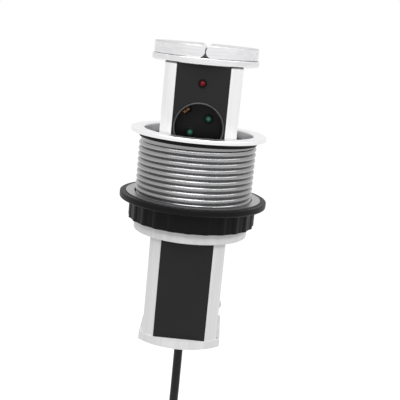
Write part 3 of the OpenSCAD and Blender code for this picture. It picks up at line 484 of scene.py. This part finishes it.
# Mounting sleeve and its thread
# A cast aluminium tube with a coarse rounded thread from end to end, tumbled to a dull silver. Its
# colour is painted lighter on the thread's crest and darker in its root, as painted highlight and
# shade, and a painted highlight lightens the plain band above the thread; the crest is also smoother.
# The thread is drawn here as one smooth ridge, which replaces the model's faceted one.
sleeve_l = 76.0
seal_h = 4.2
root_r = 49.6
pitch = 5.0
thread_h = 1.7
thread_start = 3.0
thread_play = 0.1
ridge_half = 2.45
ridge_cuts = 8
turn_steps = 72
run_out = 9
sunk = 0.05
sleeve_silver = Finish("sleeve_silver", (0.16, 0.16, 0.163), 0.3, 1.0)
sleeve_grain = sleeve_silver.grain(900.0, 3.0)
sleeve_cloud = sleeve_silver.grain(38.0, 3.0, (1.0, 1.0, 0.5))
sleeve_reach = sleeve_silver.reach((1.0, 1.0, 0.0))
# Painted highlight and shade: the colour is lighter on the thread's crest and darker in its root. The
# crest is also smoother.
crest_polish_and_painted_light = sleeve_silver.fade(sleeve_reach, root_r / 1000, (root_r + thread_h) / 1000)
# Painted highlight: a lighter band on the plain sleeve just under the seal.
painted_band_highlight = sleeve_silver.fade(sleeve_silver.along("Z"), -0.0094, -0.0088)
sleeve_outside = sleeve_silver.fade(sleeve_reach, 0.0485, 0.0490)
painted_sleeve_light = crest_polish_and_painted_light.at_least(painted_band_highlight * sleeve_outside * 0.9)
sleeve_silver.wear(
    base_color=sleeve_silver.shade(painted_sleeve_light * (0.6 + sleeve_cloud * 0.4), (0.36, 0.36, 0.365)),
    roughness=0.25 + sleeve_grain * 0.08 - crest_polish_and_painted_light * 0.1)
sleeve_silver.bumps(sleeve_grain, distance=0.00002, strength=0.15)
thread_turns = (sleeve_l - thread_start - seal_h - ridge_half - thread_play) / pitch
thread_steps = int(thread_turns * turn_steps)
ridge = bmesh.new()
ridge_line = []
for i in range(2 * ridge_cuts + 1):
    across = i / ridge_cuts - 1
    crest = thread_h * (1 - abs(across) ** 2.1)
    low = -sleeve_l + thread_start + ridge_half * across
    ridge_line.append(ridge.verts.new((root_r + crest, 0.0, low)))
for start, end in zip(ridge_line, ridge_line[1:]):
    ridge.edges.new((start, end))
bmesh.ops.spin(
    ridge, geom=ridge.verts[:] + ridge.edges[:], cent=(0, 0, 0), axis=(0, 0, 1),
    dvec=(0, 0, pitch * thread_turns / thread_steps), angle=tau * thread_turns, steps=thread_steps,
    use_merge=False, use_duplicate=False)
for number, vert in enumerate(ridge.verts):
    step = number // len(ridge_line)
    full = min(1.0, step / run_out, (thread_steps - step) / run_out)
    reach = vert.co.xy.length
    vert.co.xy *= (root_r - sunk + (reach - root_r + sunk) * full) / reach
thread_ridge = placed("thread_ridge", ridge, sleeve_silver, "sleeve")
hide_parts("sleeve_thread")
dress(sleeve_silver, "mounting_sleeve", "lid_ledges")

# Seal
# A soft black band under the ring that fills the edge of the worktop's hole.
seal_rubber = Finish("seal_rubber", (0.006, 0.006, 0.006), 0.55, specular_ior_level=0.12)
seal_grain = seal_rubber.grain(1500.0)
seal_rubber.wear(
    base_color=seal_rubber.shade(seal_grain * 0.5, (0.012, 0.012, 0.012)),
    roughness=0.5 + seal_grain * 0.2)
dress(seal_rubber, "flange_seal")

# White mouldings
# The rails, guide collar, bottom cap and stop catches are moulded from the same white plastic, with
# a fine eroded surface that shows faint draw marks along the tower. Painted shade makes the colour
# darker on the lower part, and a painted shadow darkens a narrow band under the lid.
white_plastic = Finish("white_plastic", (0.87, 0.87, 0.87), 0.42, specular_ior_level=0.45)
white_pores = white_plastic.grain(3200.0)
white_draw = white_plastic.grain(230.0, 3.0, (1.0, 1.0, 0.05))
white_height = white_plastic.along("Z")
# Painted shadow: a narrow dark band at the top of the rails, under the lid.
painted_lid_shadow = white_plastic.fade(white_height, 0.0608, 0.0614)
# Painted shade: the colour grows darker towards the bottom of the tower, on top of the draw marks.
painted_low_shade = white_plastic.fade(white_height, -0.070, -0.095)
draw_marks_and_low_shade = white_plastic.shade(white_draw * 1.6 - 0.45 + painted_low_shade * 0.3, (0.74, 0.74, 0.74))
white_plastic.wear(
    base_color=white_plastic.shade(painted_lid_shadow * 0.85, (0.05, 0.05, 0.05), plain=draw_marks_and_low_shade),
    roughness=0.36 + white_pores * 0.12)
white_plastic.bumps(white_pores + white_draw * 1.5, distance=0.00006, strength=0.35)
dress(white_plastic, "guide_collar", "left_rail", "right_rail", "stop_catches", "bottom_cap")

# Friction pads
# Two dark felt pads in the collar that press on the tower's flat sides.
felt = Finish("pad_felt", (0.08, 0.08, 0.08), 0.95, sheen_weight=0.4)
felt_hair = felt.grain(1800.0, 4.0)
felt.wear(base_color=felt.shade(felt_hair, (0.15, 0.15, 0.15)))
felt.bumps(felt_hair, distance=0.0004, strength=0.7)
dress(felt, "friction_pads")

# Clamping washer
# A pressed steel ring that lies on the nut under the worktop, a little clouded and worn.
washer_steel = Finish("washer_steel", (0.36, 0.36, 0.365), 0.3, 1.0)
washer_cloud = washer_steel.grain(60.0, 3.0)
washer_fine = washer_steel.grain(1400.0)
washer_steel.wear(
    base_color=washer_steel.shade(washer_cloud * 0.6, (0.30, 0.30, 0.305)),
    roughness=0.26 + washer_fine * 0.16)
washer_steel.bumps(washer_fine, distance=0.00004, strength=0.3)
dress(washer_steel, "clamp_washer")

# Ring nut
# A heavy black moulding with a broad rim and shallow grip lobes.
nut_plastic = Finish("nut_plastic", (0.004, 0.004, 0.0045), 0.4, specular_ior_level=0.1)
nut_grain = nut_plastic.grain(2400.0)
nut_rub = nut_plastic.grain(70.0, 3.0)
nut_plastic.wear(
    base_color=nut_plastic.shade(nut_rub * 0.5, (0.009, 0.009, 0.0095)),
    roughness=0.32 + nut_grain * 0.14 + nut_rub * 0.08)
nut_plastic.bumps(nut_grain, distance=0.00007, strength=0.4)
dress(nut_plastic, "ring_nut", "nut_thread")

# Panels
# Front and rear panels of black plastic with a satin grain, slid into the rails.
panel_black = Finish("panel_black", (0.009, 0.009, 0.0095), 0.4, specular_ior_level=0.2)
panel_grain = panel_black.grain(2800.0)
panel_cloud = panel_black.grain(25.0)
panel_black.wear(
    base_color=panel_black.shade(panel_cloud * 0.6, (0.015, 0.015, 0.0155)),
    roughness=0.38 + panel_grain * 0.12)
panel_black.bumps(panel_grain, distance=0.00006, strength=0.4)
dress(panel_black, "front_panel", "rear_panel")

# Screws
# Small zinc-plated pan-head screws that hold the caps, the lid, the hinges and the dishes.
zinc = Finish("zinc_plate", (0.5, 0.5, 0.51), 0.35, 1.0)
zinc_mottle = zinc.grain(900.0, 3.0)
zinc.wear(
    base_color=zinc.shade(zinc_mottle * 0.6, (0.36, 0.36, 0.36)),
    roughness=0.28 + zinc_mottle * 0.2)
dress(
    zinc, "cap_screws", "lid_screws", "bracket_screws", "dish_screws", "clamp_screws",
    "terminal_screws")

# Lid
# A round aluminium base with two half-round wings above it, all brushed from side to side, with
# a painted dark reflection along the wings' upper edge. Painted shade darkens the joint between the
# wings low down, where the steel hinges stand.
lid_brushed = Finish("lid_brushed", (0.84, 0.84, 0.85), 0.32, 1.0)
lid_lines = lid_brushed.grain(420.0, 4.0, (0.03, 0.5, 1.6))
lid_cloud = lid_brushed.grain(30.0, 2.0, (0.4, 1.0, 1.0))
lid_height = lid_brushed.along("Z")
# Painted reflection: a darker line along the wings' upper edge.
painted_rim_reflection = lid_brushed.fade(lid_height, 0.0770, 0.0776)
# Painted shade: the inner faces of the joint between the wings are darkened low down.
lid_point = lid_brushed.node("VectorMath", {0: lid_brushed.where()}, operation="ABSOLUTE")
gap_near = lid_brushed.fade(lid_brushed.along("X", lid_point), 0.0048, 0.0038)
gap_inside = lid_brushed.fade(lid_brushed.along("Y", lid_point), 0.0436, 0.0430)
gap_low = lid_brushed.fade(lid_height, 0.0750, 0.0730)
painted_gap_shade = gap_near * gap_inside * gap_low
lid_streaks = lid_lines * 1.1 + lid_cloud * 0.3 - 0.35
lid_colour = lid_brushed.shade(lid_streaks + painted_rim_reflection * 0.8, (0.55, 0.55, 0.56))
lid_brushed.wear(
    base_color=lid_brushed.shade(painted_gap_shade * 0.85, (0.10, 0.10, 0.10), plain=lid_colour),
    roughness=0.26 + lid_lines * 0.22)
lid_brushed.bumps(lid_lines, distance=0.00008, strength=0.4)
dress(lid_brushed, "lid_base", "left_wing", "right_wing")
# The hinges' steel is painted darker than bare steel, as painted shade in the joint between the wings.
hinge_steel = Finish("hinge_steel", (0.26, 0.26, 0.265), 0.3, 1.0)
hinge_mottle = hinge_steel.grain(1200.0, 3.0)
hinge_steel.wear(
    base_color=hinge_steel.shade(hinge_mottle * 0.5, (0.20, 0.20, 0.205)),
    roughness=0.22 + hinge_mottle * 0.2)
dress(hinge_steel, "hinge_brackets", "hinge_pins")

# Socket dishes
# Two round black dishes behind the front panel. Each has a rounded lip, two keys, two collared
# pin holes with a green shutter behind them, and two sprung brass earth clips of two blades each.
socket_z = 10.5
socket_pitch = 45.0
socket_turn = radians(40)
rim_y = -40.8
floor_y = -23.3
pin_off = 9.5
clip_r = 16.4
blade_off = 1.75
blade_w = 2.5
dishes = (("upper", socket_z), ("lower", socket_z - socket_pitch))
blade_line = [
    (-0.05, 3.4), (-0.9, 5.5), (-1.75, 8.0), (-1.9, 9.3), (-1.2, 11.2), (0.4, 13.4), (2.0, 15.8)]
collar_line = [(3.05, -0.2), (3.05, 0.25), (3.3, 0.5), (3.9, 0.5), (4.3, 0.25), (4.4, -0.2)]
lip_line = [(20.35 + 0.55 * cos(radians(a)), 0.12 + 0.28 * sin(radians(a))) for a in range(0, 181, 30)]
lip_line += [(19.8, -0.3), (20.9, -0.3)]
dish_black = Finish("dish_black", (0.006, 0.006, 0.006), 0.36, specular_ior_level=0.15)
dish_grain = dish_black.grain(3000.0)
dish_black.wear(
    base_color=dish_black.shade(dish_black.grain(60.0) * 0.5, (0.012, 0.012, 0.012)),
    roughness=0.32 + dish_grain * 0.14)
dish_black.bumps(dish_grain, distance=0.00005, strength=0.35)
dress(dish_black, "upper_socket_dish", "lower_socket_dish")
# Painted highlight: the lip is the dish's black plastic made lighter and glossier, so that it shows a
# light line on the rim.
dish_lip_painted_light = Finish("dish_lip_painted_light", (0.045, 0.045, 0.045), 0.3, specular_ior_level=0.5)
dish_lip_painted_light.wear(roughness=0.26 + dish_lip_painted_light.grain(1800.0) * 0.12)
brass = Finish("clip_brass", (0.20, 0.11, 0.05), 0.32, 1.0)
brass_tarnish = brass.grain(500.0, 3.0)
brass.wear(
    base_color=brass.shade(brass_tarnish * 0.8, (0.07, 0.035, 0.015)),
    roughness=0.26 + brass_tarnish * 0.24)
dress(brass, "earth_clips", "live_contacts", "neutral_contacts")
for level_name, z in dishes:
    lip = spun(lip_line, (0, rim_y, z), (0, -1, 0), steps=96, closed=True)
    placed(level_name + "_dish_lip", lip, dish_lip_painted_light, "tower")
    collars = bmesh.new()
    for side in (1, -1):
        hole = (side * pin_off * cos(socket_turn), floor_y, z + side * pin_off * sin(socket_turn))
        collar = spun(collar_line, hole, (0, -1, 0), steps=48, closed=True)
        part = bpy.data.meshes.new("part")
        collar.to_mesh(part)
        collar.free()
        collars.from_mesh(part)
        bpy.data.meshes.remove(part)
    placed(level_name + "_pin_collars", collars, dish_black, "tower")
    springs = bmesh.new()
    for clip_turn in (socket_turn, socket_turn + pi):
        for offset in (-blade_off, blade_off):
            left = offset - blade_w / 2
            edge_points = [springs.verts.new((left, clip_r + inward, out)) for inward, out in blade_line]
            edges = [springs.edges.new(pair) for pair in zip(edge_points, edge_points[1:])]
            far_points = new_points(bmesh.ops.extrude_edge_only(springs, edges=edges))
            bmesh.ops.translate(springs, verts=far_points, vec=(blade_w, 0.0, 0.0))
            blade = edge_points + far_points
            round_dish = Matrix.Rotation(clip_turn, 3, "Z")
            bmesh.ops.rotate(springs, verts=blade, cent=(0, 0, 0), matrix=round_dish)
            facing_out = Matrix.Rotation(pi / 2, 3, "X")
            bmesh.ops.rotate(springs, verts=blade, cent=(0, 0, 0), matrix=facing_out)
            bmesh.ops.translate(springs, verts=blade, vec=(0.0, floor_y, z))
    clips = placed(level_name + "_clip_springs", springs, brass, "tower")
    sheet_metal = clips.modifiers.new("sheet", "SOLIDIFY")
    sheet_metal.thickness = 0.0004
    sheet_metal.offset = 0.0

# Shutters
# A glossy green disc turns behind each dish's two pin holes. It has a shallow dimple behind each
# hole, drawn as a bump. Its colour is a painted highlight in each dimple and, elsewhere, a near-black
# green that is painted shade of the dish.
dimple_r = 0.003
for level_name, z in dishes:
    # The plain colour, a near-black green, is painted shade.
    shutter_green = Finish(
        level_name + "_shutter_green", (0.003, 0.03, 0.016), 0.3, specular_ior_level=0.25)
    middle = (0.0, 0.0, -z / 1000)
    ring_off = shutter_green.reach((1.0, 0.0, 1.0), middle) - pin_off / 1000
    off_line = shutter_green.node(
        "VectorMath",
        {0: shutter_green.where((1.0, 0.0, 1.0), middle), 1: (sin(socket_turn), 0.0, -cos(socket_turn))},
        out="Value", operation="DOT_PRODUCT")
    dimple = ((ring_off * ring_off + off_line * off_line) ** 0.5) / dimple_r
    dimple_depth = (1.0 - dimple).at_least(0.0)
    shutter_grain = shutter_green.grain(1600.0)
    # Painted highlight: the green is lighter in the middle of each dimple.
    painted_dimple_highlight = dimple_depth ** 1.4 * 1.7 + shutter_grain * 0.06
    shutter_green.wear(
        base_color=shutter_green.shade(painted_dimple_highlight, (0.12, 0.50, 0.34)),
        roughness=0.2 + shutter_grain * 0.12)
    shutter_green.bumps(dimple_depth, distance=0.001, strength=0.6)
    dress(shutter_green, level_name + "_shutter")

# Signal light
# A dark red dome in a black bezel, set flush in the panel. The dome's red is painted darker towards its
# rim, as painted shade.
light_z = 47.0
dome_r = 2.5
bezel_gloss = Finish("bezel_gloss", (0.003, 0.003, 0.003), 0.3, specular_ior_level=0.12)
bezel_gloss.wear(roughness=0.24 + bezel_gloss.grain(900.0) * 0.12)
dress(bezel_gloss, "light_bezel")
dome_red = Finish("dome_red", (0.24, 0.004, 0.012), 0.16, specular_ior_level=0.12)
# Painted shade: the red darkens from the dome's middle to its rim.
dome_reach = dome_red.reach((1.0, 0.0, 1.0), (0.0, 0.0, -light_z / 1000)) * (1000 / dome_r)
dome_red.wear(base_color=dome_red.shade(dome_reach ** 1.3 * 1.05, (0.02, 0.0, 0.001)))
dress(dome_red, "light_dome")

# Inside parts
# The chassis that carries the contacts, the light's board, the terminal block and the clamp
# that holds the cord; a stranger sees them only when the tower is taken apart.
chassis_grey = Finish("chassis_grey", (0.09, 0.09, 0.092), 0.55)
chassis_grain = chassis_grey.grain(1500.0)
chassis_grey.wear(
    base_color=chassis_grey.shade(chassis_grain * 0.5, (0.13, 0.13, 0.13)),
    roughness=0.5 + chassis_grain * 0.15)
dress(chassis_grey, "inner_chassis", "clamp_bar")
board_green = Finish("board_green", (0.02, 0.15, 0.06), 0.35)
board_green.wear(base_color=board_green.shade(board_green.grain(400.0) * 0.7, (0.03, 0.22, 0.1)))
dress(board_green, "light_board")
ivory = Finish("terminal_ivory", (0.74, 0.70, 0.58), 0.45)
ivory.wear(base_color=ivory.shade(ivory.grain(300.0) * 0.6, (0.66, 0.61, 0.49)))
dress(ivory, "terminal_block")
grommet = Finish("grommet_rubber", (0.03, 0.03, 0.03), 0.6)
grommet.wear(roughness=0.5 + grommet.grain(900.0) * 0.2)
dress(grommet, "cord_grommet")
